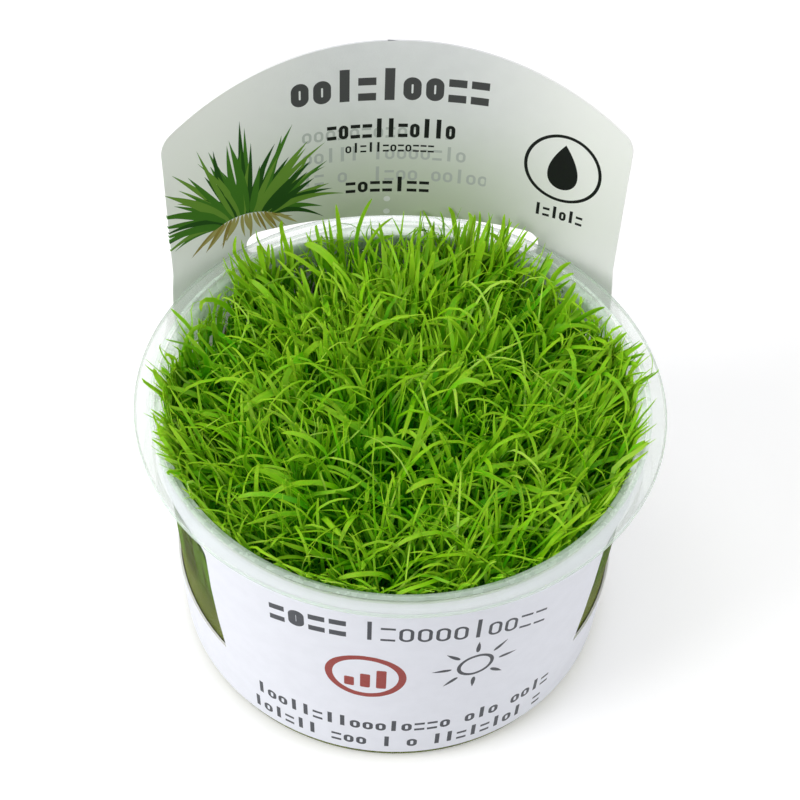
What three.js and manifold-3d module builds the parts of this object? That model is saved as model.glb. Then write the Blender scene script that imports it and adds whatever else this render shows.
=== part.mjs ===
// A tissue culture cup of a small grass-like bog plant: a clear plastic cup with a flat rim, a disc of
// nutrient gel, seven clumps of plantlets that have grown together into one turf, and a printed label
// sleeve round the cup whose back stands up behind the rim as an arched header.
// Millimetres, +Z up. The origin is the centre of the cup's flat base. The label's front faces -Y.

import * as THREE from "three";
import { ParametricGeometry } from "three/addons/geometries/ParametricGeometry.js";
import { mergeVertices } from "three/addons/utils/BufferGeometryUtils.js";
import Module from "manifold-3d";

const wasm = await Module();
wasm.setup();

// Cup
const CUP_HEIGHT = 48.5;
const RIM_RADIUS = 40;
const FLANGE_THICKNESS = 1.1;
const FLANGE_INNER_RADIUS = 37.3;
const FLANGE_CHAMFER = 0.3;
const WALL_TOP_RADIUS = 36.6;
const WALL_FOOT_RADIUS = 35.3;
const WALL_THICKNESS = 0.8;
const FLOOR_THICKNESS = 1.2;
const FOOT_CORNER = 2.5;
const CUP_SIDES = 44;
const FLANGE_UNDERSIDE = CUP_HEIGHT - FLANGE_THICKNESS;
// Radius and height of the rounded foot, of the step inside the rim and of the inner floor corner.
const FOOT_OUTLINE = [
  [33.2, 0],
  [34.6, 0.45],
  [35.2, 1.5],
];
const LIP_OUTLINE = [
  [36.9, 47.9],
  [36.2, 47.6],
  [35.8, 46.8],
];
const FLOOR_CORNER_OUTLINE = [
  [34.54, 4],
  [33.94, 2.3],
  [32.64, FLOOR_THICKNESS],
];

// Gel
const CLEARANCE = 0.3;
const GEL_TOP = 19;
const MENISCUS = 0.5;
const MENISCUS_WIDTH = 0.8;
const GEL_SIDES = 36;
const GEL_FOOT_OUTLINE = [
  [32.2, 1.5],
  [33.5, 2.5],
  [34.2, 4.5],
];

// Plantlets
const MAT_FLOOR = GEL_TOP + CLEARANCE;
const THATCH_TOP = 40.5;
const THATCH_SHOULDER = 1.6;
const THATCH_ARC_SEGMENTS = 7;
const HEART_RADIUS = 12.4;
const TURF_RADIUS = 33.8;
const OUTER_CLUMPS = 6;
const CLUMP_SECTOR = (2 * Math.PI) / OUTER_CLUMPS;
const BLADE_SPACING = 3.9;
const BLADE_JITTER = 1.6;
const BLADE_ROOT = 37.2;
const BLADE_WIDTH = 3;
const BLADE_THICKNESS = 1.3;
const BLADE_LEAN = 1.5;
const BLADE_LEAN_SPREAD = 3.5;
// Half-width and height of a blade, as shares of its width and length.
const BLADE_OUTLINE = [
  [0, 0],
  [1, 0.3],
  [0.7, 0.68],
  [0, 1],
];
const OUTERMOST_BLADE = TURF_RADIUS - 1.1;
const TURF_HEIGHT = 47.9;
const HEIGHT_SPREAD = 4;
const BACK_RISE = 6.5;
const BACK_RISE_FROM = 8;
const BACK_RISE_TO = 33;
const OVERHANG_FROM = 30.5;
const OVERHANG_SHARE = 0.55;
const OVERHANG_TIP_RADIUS = 35.6;
const OVERHANG_TIP_HEIGHT = 50.6;

// Label sleeve
const SLEEVE_GAP = 0.4;
const SLEEVE_THICKNESS = 0.5;
const SLEEVE_COLUMNS = 56;
const SLEEVE_HEIGHTS = [1.7, 14.5, 21, 27.5, 34, 40.5, 47.4, 84.6];
const FRONT_TOP = FLANGE_UNDERSIDE - SLEEVE_GAP;
const STRAP_TOP = 14.5;
const FLARE_END = 44;
const FLARE_FADE = 60;
const BACK_EDGE_FOOT = 42.7;
const BACK_EDGE_TOP = 37.9;
const HEADER_CURVE = 63.75;
const HEADER_TURN = BACK_EDGE_TOP / HEADER_CURVE;
const HEADER_LEAN = THREE.MathUtils.degToRad(3);
const HEADER_HALF_WIDTH = 35.7;
const HEADER_SHOULDER = 71;
const HEADER_CORNER = 3.6;
const CORNER_STEPS = 5;
const SIDE_CUT_NEAR = 25;
const HEADER_TOP = 83.6;
const SLOT_HALF_LENGTH = 24.5;
const SLOT_BOTTOM = 45.6;
const SLOT_TOP = 50.2;
const WINDOW_TOP = 41;
const WINDOW_CORNER = 3;
const PANEL_EDGE_FOOT = -23.5;
const PANEL_EDGE_MIDDLE = -21.9;
const PANEL_EDGE_TOP = -22.8;
const EAR_END = -10;
const OPENING_MIDDLE = 9;
const CUTTER_REACH = 60;
const ARC_SEGMENTS = 10;

const X_AXIS = new THREE.Vector3(1, 0, 0);
const Y_AXIS = new THREE.Vector3(0, 1, 0);
const Z_AXIS = new THREE.Vector3(0, 0, 1);

// A closed geometry as a solid that can be joined and cut, and back again.
function solidOf(geometry) {
  const bare = geometry.clone();
  bare.deleteAttribute("normal");
  bare.deleteAttribute("uv");
  const merged = mergeVertices(bare, 1e-4);
  return new wasm.Manifold(
    new wasm.Mesh({
      numProp: 3,
      vertProperties: new Float32Array(merged.attributes.position.array),
      triVerts: new Uint32Array(merged.index.array),
    }),
  );
}

function geometryOf(solid) {
  const mesh = solid.getMesh();
  const geometry = new THREE.BufferGeometry();
  geometry.setAttribute("position", new THREE.BufferAttribute(mesh.vertProperties, 3));
  geometry.setIndex(new THREE.BufferAttribute(mesh.triVerts, 1));
  geometry.computeVertexNormals();
  return geometry;
}

function named(name, geometry, color, roughness, opacity = 1) {
  const material = new THREE.MeshStandardMaterial({ color, roughness, metalness: 0 });
  material.transparent = opacity < 1;
  material.opacity = opacity;
  const mesh = new THREE.Mesh(geometry, material);
  mesh.name = name;
  return mesh;
}

// Turned about the Z axis from a profile of radius and height.
function turned(profile, sides) {
  const points = profile.map(([radius, height]) => new THREE.Vector2(radius, height));
  const geometry = new THREE.LatheGeometry(points, sides);
  geometry.rotateX(Math.PI / 2);
  return geometry;
}

// The wall's outer radius at a height. It widens evenly from the foot to the flange.
function wallRadius(z) {
  const rise = (z - FOOT_CORNER) / (FLANGE_UNDERSIDE - FOOT_CORNER);
  return THREE.MathUtils.lerp(WALL_FOOT_RADIUS, WALL_TOP_RADIUS, rise);
}

// Cup: one moulding with a flat base, a rounded foot, a thin wall, a stepped lip and a flat flange.
function makeCup() {
  return turned(
    [
      [0, 0],
      ...FOOT_OUTLINE,
      [WALL_FOOT_RADIUS, FOOT_CORNER],
      [WALL_TOP_RADIUS, FLANGE_UNDERSIDE],
      [RIM_RADIUS - FLANGE_CHAMFER, FLANGE_UNDERSIDE],
      [RIM_RADIUS, FLANGE_UNDERSIDE + FLANGE_CHAMFER],
      [RIM_RADIUS, CUP_HEIGHT - FLANGE_CHAMFER],
      [RIM_RADIUS - FLANGE_CHAMFER, CUP_HEIGHT],
      [FLANGE_INNER_RADIUS, CUP_HEIGHT],
      ...LIP_OUTLINE,
      ...FLOOR_CORNER_OUTLINE,
      [0, FLOOR_THICKNESS],
    ],
    CUP_SIDES,
  );
}

// Gel: a set jelly that fills the foot of the cup and creeps up a little at the wall.
function makeGel() {
  const edge = wallRadius(GEL_TOP) - WALL_THICKNESS - CLEARANCE;
  return turned(
    [
      [0, FLOOR_THICKNESS + CLEARANCE],
      ...GEL_FOOT_OUTLINE,
      [edge, GEL_TOP + MENISCUS],
      [edge - MENISCUS_WIDTH, GEL_TOP],
      [0, GEL_TOP],
    ],
    GEL_SIDES,
  );
}

// A repeatable stream of numbers from 0 to 1.
function numberStream(seed) {
  let state = seed;
  return () => {
    state = (state + 0x6d2b79f5) | 0;
    let t = Math.imul(state ^ (state >>> 15), 1 | state);
    t = (t + Math.imul(t ^ (t >>> 7), 61 | t)) ^ t;
    return ((t ^ (t >>> 14)) >>> 0) / 4294967296;
  };
}

// Leaf blade: a slim keeled spindle that tapers to a point and bows over to one side.
function makeBlade(place) {
  const geometry = turned(BLADE_OUTLINE, 3);
  geometry.scale(BLADE_WIDTH / 2, BLADE_THICKNESS / 2, place.length);
  geometry.rotateZ(place.facing);
  const position = geometry.attributes.position;
  for (let i = 0; i < position.count; i += 1) {
    const along = position.getZ(i) / place.length;
    const bow = place.lean * along * (0.4 + 0.6 * along);
    const droop = (bow * bow) / (2 * place.length);
    position.setX(i, position.getX(i) + place.x + bow * Math.cos(place.toward));
    position.setY(i, position.getY(i) + place.y + bow * Math.sin(place.toward));
    position.setZ(i, position.getZ(i) + BLADE_ROOT - droop);
  }
  return geometry;
}

// How far a point lies inside the patch of gel that one clump has grown over. Clump 0 is the heart,
// and the others are equal sectors of the ring round it.
function depthInPatch(clump, x, y) {
  const radius = Math.hypot(x, y);
  if (clump === 0) {
    return HEART_RADIUS - radius;
  }
  const turn = Math.atan2(y, x) - CLUMP_SECTOR * (clump - 0.5);
  const off = Math.abs(Math.atan2(Math.sin(turn), Math.cos(turn)));
  const toSide = radius * Math.sin(CLUMP_SECTOR / 2 - off) - CLEARANCE / 2;
  return Math.min(radius - HEART_RADIUS - CLEARANCE, toSide);
}

// Blades stand on a jittered triangular grid. Those at the rim lean out over it, and the back ones
// are tallest.
function bladePlaces() {
  const random = numberStream(20);
  const places = [];
  const rowGap = BLADE_SPACING * Math.sin(Math.PI / 3);
  const rows = Math.ceil(TURF_RADIUS / rowGap);
  for (let row = -rows; row <= rows; row += 1) {
    for (let column = -rows - 1; column <= rows + 1; column += 1) {
      const shift = row % 2 === 0 ? 0 : 0.5;
      const x = (column + shift) * BLADE_SPACING + (random() - 0.5) * BLADE_JITTER;
      const y = row * rowGap + (random() - 0.5) * BLADE_JITTER;
      const radius = Math.hypot(x, y);
      const facing = random() * Math.PI;
      const spread = random();
      const height = random();
      const swing = random();
      if (radius > OUTERMOST_BLADE) {
        continue;
      }
      const back = THREE.MathUtils.smoothstep(y, BACK_RISE_FROM, BACK_RISE_TO);
      const tip = TURF_HEIGHT + BACK_RISE * back + (height - 0.5) * HEIGHT_SPREAD;
      const overhangs = radius > OVERHANG_FROM && spread < OVERHANG_SHARE;
      places.push({
        x,
        y,
        facing,
        length: (overhangs ? Math.max(tip, OVERHANG_TIP_HEIGHT) : tip) - BLADE_ROOT,
        lean: overhangs ? OVERHANG_TIP_RADIUS - radius : BLADE_LEAN + BLADE_LEAN_SPREAD * spread,
        toward: overhangs ? Math.atan2(y, x) : swing * 2 * Math.PI,
        overhangs,
      });
    }
  }
  return places;
}

// A blade belongs to the clump whose patch holds all of it. One that would stray turns until it fits.
function fitToClump(place) {
  const margin = BLADE_THICKNESS + CLEARANCE;
  const clumps = Array.from({ length: OUTER_CLUMPS + 1 }, (_, index) => index);
  const home = clumps.find((clump) => depthInPatch(clump, place.x, place.y) > margin);
  if (home === undefined) {
    return null;
  }
  for (let turn = 0; turn < 12; turn += 1) {
    const toward = place.toward + (turn * Math.PI) / 6;
    const tipX = place.x + place.lean * Math.cos(toward);
    const tipY = place.y + place.lean * Math.sin(toward);
    const inCup = place.overhangs || Math.hypot(tipX, tipY) < TURF_RADIUS;
    if (inCup && depthInPatch(home, tipX, tipY) > CLEARANCE) {
      return { ...place, toward, home };
    }
  }
  return null;
}

// The body of a clump: its mat of creeping stolons and the packed lower leaves, up to where the
// separate blades begin.
function makeThatch(clump) {
  const shape = new THREE.Shape();
  if (clump === 0) {
    shape.absarc(0, 0, HEART_RADIUS, 0, 2 * Math.PI, false);
  } else {
    const inner = HEART_RADIUS + CLEARANCE;
    const from = CLUMP_SECTOR * (clump - 1);
    const to = CLUMP_SECTOR * clump;
    const innerTrim = CLEARANCE / 2 / inner;
    const outerTrim = CLEARANCE / 2 / TURF_RADIUS;
    shape.absarc(0, 0, TURF_RADIUS, from + outerTrim, to - outerTrim, false);
    shape.absarc(0, 0, inner, to - innerTrim, from + innerTrim, true);
    shape.closePath();
  }
  const geometry = new THREE.ExtrudeGeometry(shape, {
    depth: THATCH_TOP - MAT_FLOOR - 2 * THATCH_SHOULDER,
    bevelEnabled: true,
    bevelThickness: THATCH_SHOULDER,
    bevelSize: THATCH_SHOULDER / 2,
    bevelOffset: -THATCH_SHOULDER / 2,
    bevelSegments: 1,
    curveSegments: clump === 0 ? 3 * THATCH_ARC_SEGMENTS : THATCH_ARC_SEGMENTS,
  });
  geometry.translate(0, 0, MAT_FLOOR + THATCH_SHOULDER);
  return geometry;
}

function makeClumps() {
  const solids = Array.from({ length: OUTER_CLUMPS + 1 }, (_, clump) => solidOf(makeThatch(clump)));
  for (const place of bladePlaces()) {
    const fitted = fitToClump(place);
    if (fitted) {
      solids[fitted.home] = solids[fitted.home].add(solidOf(makeBlade(fitted)));
    }
  }
  return solids.map(geometryOf);
}

// A point of the sleeve's sheet: along is measured round it from the middle of the back, off is how far
// outside its inner face the point lies. The wrap follows the wall. The header, from the rim up, is a
// flatter curve that leans back, and between the two the sheet passes from one to the other.
function sheetPoint(along, z, off, target) {
  const angle = along / WALL_TOP_RADIUS;
  const wrap = wallRadius(Math.min(z, FLANGE_UNDERSIDE)) + SLEEVE_GAP + off;
  const rise = Math.max(0, z - FLANGE_UNDERSIDE);
  const crest = WALL_TOP_RADIUS + SLEEVE_GAP + rise * Math.tan(HEADER_LEAN);
  const turn = along / HEADER_CURVE;
  const headerX = (HEADER_CURVE + off) * Math.sin(turn);
  const headerY = crest - HEADER_CURVE + (HEADER_CURVE + off) * Math.cos(turn);
  const nearBack = 1 - THREE.MathUtils.smoothstep(Math.abs(along), FLARE_END, FLARE_FADE);
  const share = THREE.MathUtils.smoothstep(z, STRAP_TOP, FLANGE_UNDERSIDE) * nearBack;
  target.set(
    THREE.MathUtils.lerp(wrap * Math.sin(angle), headerX, share),
    THREE.MathUtils.lerp(wrap * Math.cos(angle), headerY, share),
    z,
  );
}

// The uncut sheet, as one closed band: up its outer face and down its inner one.
function sleeveBlank() {
  const loop = [
    ...SLEEVE_HEIGHTS.map((z) => [z, SLEEVE_THICKNESS]),
    ...SLEEVE_HEIGHTS.map((z) => [z, 0]).reverse(),
  ];
  const place = (u, v, target) => {
    const [z, off] = loop[Math.round(v * loop.length) % loop.length];
    sheetPoint((0.5 - u) * 2 * Math.PI * WALL_TOP_RADIUS, z, off, target);
  };
  return solidOf(new ParametricGeometry(place, SLEEVE_COLUMNS, loop.length));
}

// A cutter whose outline lies in a plane that runs across and up, pushed from near to far along the
// horizontal direction at right angles to it.
function cutter(shape, across, near, far) {
  const geometry = new THREE.ExtrudeGeometry(shape, {
    depth: far - near,
    bevelEnabled: false,
    curveSegments: ARC_SEGMENTS,
  });
  const push = new THREE.Vector3().crossVectors(across, Z_AXIS);
  const placed = new THREE.Matrix4().makeBasis(across, Z_AXIS, push);
  geometry.applyMatrix4(placed.setPosition(push.clone().multiplyScalar(near)));
  return solidOf(geometry);
}

// Everything at the back that lies above the header's arch.
function aboveArch() {
  const arch = archOf();
  const shape = new THREE.Shape();
  shape.moveTo(CUTTER_REACH, arch.shoulderZ);
  shape.lineTo(CUTTER_REACH, HEADER_TOP + CUTTER_REACH);
  shape.lineTo(-CUTTER_REACH, HEADER_TOP + CUTTER_REACH);
  shape.lineTo(-CUTTER_REACH, arch.shoulderZ);
  shape.lineTo(-arch.shoulderX, arch.shoulderZ);
  shape.absarc(0, arch.centre, arch.radius, Math.PI - arch.meet, arch.meet, true);
  shape.closePath();
  return cutter(shape, X_AXIS, -CUTTER_REACH, 0);
}

// Everything beside the back panel and the header. Its side edge is straight in the flat sheet from
// the strap to the rim, upright from there, and rounded at the shoulder. It is cut square to the sheet.
function besideBackPanel(side) {
  const across = new THREE.Vector3(Math.cos(HEADER_TURN), -side * Math.sin(HEADER_TURN), 0);
  const point = new THREE.Vector3();
  const shape = new THREE.Shape();
  const edge = (along, z) => {
    sheetPoint(side * along, z, 0, point);
    shape.lineTo(point.dot(across), z);
  };
  shape.moveTo(side * CUTTER_REACH, STRAP_TOP);
  shape.lineTo(side * CUTTER_REACH, HEADER_TOP);
  shape.lineTo(0, HEADER_TOP);
  const meet = archOf().meet;
  for (let step = 0; step <= CORNER_STEPS; step += 1) {
    const angle = meet * (1 - step / CORNER_STEPS);
    const inset = HEADER_CORNER * (1 - Math.cos(angle));
    edge(BACK_EDGE_TOP - inset, HEADER_SHOULDER + HEADER_CORNER * Math.sin(angle));
  }
  for (const z of SLEEVE_HEIGHTS.slice(1, -1).reverse()) {
    const share = (z - STRAP_TOP) / (FLANGE_UNDERSIDE - STRAP_TOP);
    edge(THREE.MathUtils.lerp(BACK_EDGE_FOOT, BACK_EDGE_TOP, share), z);
  }
  shape.closePath();
  return cutter(shape, across, -CUTTER_REACH, -SIDE_CUT_NEAR);
}

// The arch: a circle through the header's top that runs smoothly into both rounded shoulders.
function archOf() {
  const cornerX = HEADER_HALF_WIDTH - HEADER_CORNER;
  const rise = HEADER_TOP - HEADER_SHOULDER - HEADER_CORNER;
  const drop = (cornerX * cornerX - rise * rise) / (2 * rise);
  const radius = drop + rise + HEADER_CORNER;
  const centre = HEADER_SHOULDER - drop;
  const meet = Math.atan2(drop, cornerX);
  return {
    radius,
    centre,
    meet,
    shoulderX: radius * Math.cos(meet),
    shoulderZ: centre + radius * Math.sin(meet),
  };
}

// The open side of the sleeve: it starts behind the front panel, passes under a short ear that
// reaches back below the flange, and is open above from there to the back panel.
function sideOpening(side) {
  const sky = HEADER_TOP + CUTTER_REACH;
  const shape = new THREE.Shape();
  shape.moveTo(PANEL_EDGE_FOOT, STRAP_TOP);
  shape.lineTo(OPENING_MIDDLE, STRAP_TOP);
  shape.lineTo(OPENING_MIDDLE, sky);
  shape.lineTo(EAR_END, sky);
  shape.lineTo(EAR_END, WINDOW_TOP + WINDOW_CORNER);
  shape.quadraticCurveTo(EAR_END, WINDOW_TOP, EAR_END - WINDOW_CORNER, WINDOW_TOP);
  shape.lineTo(PANEL_EDGE_TOP + WINDOW_CORNER, WINDOW_TOP);
  shape.quadraticCurveTo(PANEL_EDGE_TOP, WINDOW_TOP, PANEL_EDGE_TOP, WINDOW_TOP - WINDOW_CORNER);
  shape.quadraticCurveTo(PANEL_EDGE_MIDDLE, (STRAP_TOP + WINDOW_TOP) / 2, PANEL_EDGE_FOOT, STRAP_TOP);
  return side > 0
    ? cutter(shape, Y_AXIS, HEART_RADIUS, CUTTER_REACH)
    : cutter(shape, Y_AXIS, -CUTTER_REACH, -HEART_RADIUS);
}

// The slot at the back through which the cup's flange passes.
function flangeSlot() {
  const radius = (SLOT_TOP - SLOT_BOTTOM) / 2;
  const middle = (SLOT_TOP + SLOT_BOTTOM) / 2;
  const end = SLOT_HALF_LENGTH - radius;
  const shape = new THREE.Shape();
  shape.absarc(end, middle, radius, -Math.PI / 2, Math.PI / 2, false);
  shape.absarc(-end, middle, radius, Math.PI / 2, (3 * Math.PI) / 2, false);
  shape.closePath();
  return cutter(shape, X_AXIS, -CUTTER_REACH, 0);
}

// Sleeve: one die-cut sheet round the cup, with a front panel, a low strap at each side, a back panel
// that flares out to pass the flange, and the header above it.
function makeSleeve() {
  const aboveFront = new THREE.BoxGeometry(2 * CUTTER_REACH, CUTTER_REACH, HEADER_TOP);
  aboveFront.translate(0, -CUTTER_REACH / 2, FRONT_TOP + HEADER_TOP / 2);
  const sleeve = sleeveBlank()
    .subtract(solidOf(aboveFront))
    .subtract(aboveArch())
    .subtract(besideBackPanel(1))
    .subtract(besideBackPanel(-1))
    .subtract(sideOpening(1))
    .subtract(sideOpening(-1))
    .subtract(flangeSlot());
  return geometryOf(sleeve);
}

const planter = new THREE.Group();
planter.add(named("cup", makeCup(), 0xe8f0ec, 0.08, 0.35));
planter.add(named("nutrient_gel", makeGel(), 0x6b7540, 0.25, 0.8));
makeClumps().forEach((geometry, index) => {
  planter.add(named(`plantlet_clump_${index + 1}`, geometry, 0x6fae1c, 0.5));
});
planter.add(named("label_sleeve", makeSleeve(), 0xe6e8ee, 0.45));

export default planter;
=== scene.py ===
import math
from functools import partial

import bpy
import numpy as np
from mathutils import Matrix, Vector


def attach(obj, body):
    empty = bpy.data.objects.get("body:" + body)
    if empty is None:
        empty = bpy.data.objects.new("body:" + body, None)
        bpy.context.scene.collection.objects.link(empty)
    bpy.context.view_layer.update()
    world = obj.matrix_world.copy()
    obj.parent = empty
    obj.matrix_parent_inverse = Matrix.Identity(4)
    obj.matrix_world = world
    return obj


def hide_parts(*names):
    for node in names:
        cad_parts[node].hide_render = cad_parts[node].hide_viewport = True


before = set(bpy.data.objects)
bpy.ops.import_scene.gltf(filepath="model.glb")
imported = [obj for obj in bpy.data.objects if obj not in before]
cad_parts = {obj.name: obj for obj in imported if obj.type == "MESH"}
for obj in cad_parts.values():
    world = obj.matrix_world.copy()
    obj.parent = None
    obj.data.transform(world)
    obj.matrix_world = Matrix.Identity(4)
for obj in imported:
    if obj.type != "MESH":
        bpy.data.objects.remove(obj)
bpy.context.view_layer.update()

MM = 0.001

# Camera: it looks down on the cup from the front, a little from the left, and the picture is turned
# slightly clockwise. It aims at a point close to the middle of the rim.
RIM_HEIGHT = 48.5
CAMERA_DISTANCE = 226
CAMERA_ELEVATION = math.radians(48.55)
CAMERA_YAW = math.radians(4.67)
CAMERA_ROLL = math.radians(2.87)
AIM_RIGHT = -0.168
AIM_UP = -1.533
PICTURE_WIDTH = 800
FOCAL_PIXELS = 1500
SENSOR_WIDTH = 36
NEAREST_SEEN = 0.01

rim_centre = Vector((0, 0, RIM_HEIGHT * MM))
back = Vector((
    -math.sin(CAMERA_YAW) * math.cos(CAMERA_ELEVATION),
    -math.cos(CAMERA_YAW) * math.cos(CAMERA_ELEVATION),
    math.sin(CAMERA_ELEVATION),
))
right = Vector((math.cos(CAMERA_YAW), -math.sin(CAMERA_YAW), 0))
stand_point = rim_centre + back * CAMERA_DISTANCE * MM
aim_point = rim_centre + (right * AIM_RIGHT + back.cross(right) * AIM_UP) * MM
back = (stand_point - aim_point).normalized()
right = Vector((0, 0, 1)).cross(back).normalized()
up = back.cross(right)
rolled_right = right * math.cos(CAMERA_ROLL) + up * math.sin(CAMERA_ROLL)
rolled_up = up * math.cos(CAMERA_ROLL) - right * math.sin(CAMERA_ROLL)

camera = bpy.data.objects.new("camera", bpy.data.cameras.new("camera"))
bpy.context.scene.collection.objects.link(camera)
camera.data.sensor_width = SENSOR_WIDTH
camera.data.lens = SENSOR_WIDTH * FOCAL_PIXELS / PICTURE_WIDTH
camera.data.clip_start = NEAREST_SEEN
turn = Matrix((rolled_right, rolled_up, back)).transposed().to_4x4()
camera.matrix_world = Matrix.Translation(stand_point) @ turn
bpy.context.scene.camera = camera


# Cup: one thin clear plastic moulding. Its wall widens a little towards the top and ends in a stepped
# lip and a flat flange. The mouth, the lip and the edge of the flange are frosted, and a wet haze lies
# on the inside of the wall above the plants. The colour of the frosted parts is painted light: the green
# of the leaves inside the mouth, paling upwards into a painted highlight on the lip.
WALL_FOOT_RADIUS = 35.3
WALL_TOP_RADIUS = 36.6
WALL_FOOT = 2.5
WALL_SLOPE = 0.029
OUTER_FACE_AT_FOOT = 35.23
FLANGE_UNDERSIDE = 47.4
CUP_OUTLINE = [
    (34.4, 0), (34.9, 0.06), (35.15, 0.22), (35.25, 0.5), (35.28, 1.2), (35.3, 2.5),
    (35.9, 23), (36.55, 46), (36.65, 46.9), (36.95, 47.3), (37.4, 47.4),
    (39.6, 47.4), (39.88, 47.52), (40, 47.75), (40, 48.15), (39.88, 48.38), (39.6, 48.5),
    (37.75, 48.5), (37.6, 48.62), (37.35, 48.68), (37.1, 48.6), (36.95, 48.35), (36.88, 47.95),
    (36.7, 47.75), (36.3, 47.68), (36.05, 47.5), (35.9, 47.1), (35.82, 46.4), (35.95, 44), (36.27, 41.5),
    (35.75, 23), (35.19, 4), (35.12, 1.2), (35.08, 0.6), (34.95, 0.35), (34.7, 0.22), (34, 0.2),
]
CUP_SIDES = 160
SHARPEST_SMOOTH = math.radians(50)
MOUTH_BOTTOM = 41
MOUTH_RADIUS = 36.97
LIP_RADIUS = 37.7
EDGE_RADIUS = 39.85
HAZE_BOTTOM = 37
LIP_START = 46.8
CLEAR_TINT = (0.91, 0.98, 0.935)
MOUTH_PAINTED_LEAF_GREEN = (0.5, 0.71, 0.49)
LIP_PAINTED_HIGHLIGHT = (0.76, 0.9, 0.79)
PLASTIC_IOR = 1.45
CLEAR_ALPHA = 0.025
RIM_ALPHA = 0.4
HAZE_ALPHA = 0.45
CLEAR_ROUGHNESS = 0.04
HAZE_ROUGHNESS = 0.3


def wall_radius(height):
    share = (height - WALL_FOOT) / (FLANGE_UNDERSIDE - WALL_FOOT)
    return WALL_FOOT_RADIUS + (WALL_TOP_RADIUS - WALL_FOOT_RADIUS) * share


def pick(piece):
    # The piece alone becomes the selected and active one.
    bpy.ops.object.select_all(action="DESELECT")
    piece.select_set(True)
    bpy.context.view_layer.objects.active = piece


def turn_faces_outward():
    # All faces of the active piece, which may be in edit mode already.
    bpy.ops.object.mode_set(mode="EDIT")
    bpy.ops.mesh.select_all(action="SELECT")
    bpy.ops.mesh.normals_make_consistent(inside=False)
    bpy.ops.object.mode_set(mode="OBJECT")


def turned_piece(name, outline, sides):
    # A disc at the first radius and height, raised ring by ring along the rest of the outline.
    radius, height = outline[0]
    bpy.ops.object.select_all(action="DESELECT")
    bpy.ops.mesh.primitive_circle_add(
        vertices=sides, radius=radius * MM, fill_type="NGON", location=(0, 0, height * MM)
    )
    piece = bpy.context.object
    piece.name = name
    bpy.ops.object.transform_apply(location=True)
    bpy.ops.object.mode_set(mode="EDIT")
    bpy.ops.mesh.select_all(action="SELECT")
    for next_radius, next_height in outline[1:]:
        rise = (0, 0, (next_height - height) * MM)
        bpy.ops.mesh.extrude_region_move(TRANSFORM_OT_translate={"value": rise})
        share = next_radius / radius
        centre = (0, 0, next_height * MM)
        bpy.ops.transform.resize(value=(share, share, 1), center_override=centre)
        radius, height = next_radius, next_height
    turn_faces_outward()
    bpy.ops.object.shade_smooth_by_angle(angle=SHARPEST_SMOOTH)
    return piece


def new_material(name):
    # A material with the shader and the output that it starts with.
    material = bpy.data.materials.new(name)
    material.use_nodes = True
    tree = material.node_tree
    return material, tree, tree.nodes["Principled BSDF"]


def object_place(tree):
    return tree.nodes.new("ShaderNodeTexCoord").outputs["Object"]


def axes_of(tree, place):
    node = tree.nodes.new("ShaderNodeSeparateXYZ")
    tree.links.new(place, node.inputs[0])
    return node.outputs["X"], node.outputs["Y"], node.outputs["Z"]


def scaled(tree, place, scale):
    node = tree.nodes.new("ShaderNodeMapping")
    node.inputs["Scale"].default_value = scale
    tree.links.new(place, node.inputs["Vector"])
    return node.outputs[0]


def calc(tree, operation, *values):
    # A Math node. Each value is a number or the output of another node.
    node = tree.nodes.new("ShaderNodeMath")
    node.operation = operation
    for socket, value in zip(node.inputs, values):
        if isinstance(value, (int, float)):
            socket.default_value = value
        else:
            tree.links.new(value, socket)
    return node.outputs[0]


def hypotenuse(tree, first, second):
    squares = [calc(tree, "POWER", side, 2) for side in (first, second)]
    return calc(tree, "SQRT", calc(tree, "ADD", *squares))


def stepped(tree, value, low, high, from_value=0.0, to_value=1.0):
    # A smooth passage from one value to another while the input goes from low to high.
    node = tree.nodes.new("ShaderNodeMapRange")
    node.interpolation_type = "SMOOTHSTEP"
    tree.links.new(value, node.inputs["Value"])
    node.inputs["From Min"].default_value = low
    node.inputs["From Max"].default_value = high
    node.inputs["To Min"].default_value = from_value
    node.inputs["To Max"].default_value = to_value
    return node.outputs["Result"]


def mixed(tree, share, first, second):
    # A mix of two colours. The share, and each colour, is a value or the output of another node.
    node = tree.nodes.new("ShaderNodeMix")
    node.data_type = "RGBA"
    for socket, value in ((node.inputs[0], share), (node.inputs[6], first), (node.inputs[7], second)):
        if isinstance(value, bpy.types.NodeSocket):
            tree.links.new(value, socket)
        elif isinstance(value, tuple):
            socket.default_value = (*value, 1)
        else:
            socket.default_value = value
    return node.outputs[2]


def noise(tree, coordinates, scale, detail):
    node = tree.nodes.new("ShaderNodeTexNoise")
    tree.links.new(coordinates, node.inputs["Vector"])
    node.inputs["Scale"].default_value = scale
    node.inputs["Detail"].default_value = detail
    return node.outputs["Fac"]


def bumped(tree, shader, height, distance):
    node = tree.nodes.new("ShaderNodeBump")
    node.inputs["Distance"].default_value = distance
    tree.links.new(height, node.inputs["Height"])
    tree.links.new(node.outputs["Normal"], shader.inputs["Normal"])


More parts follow.
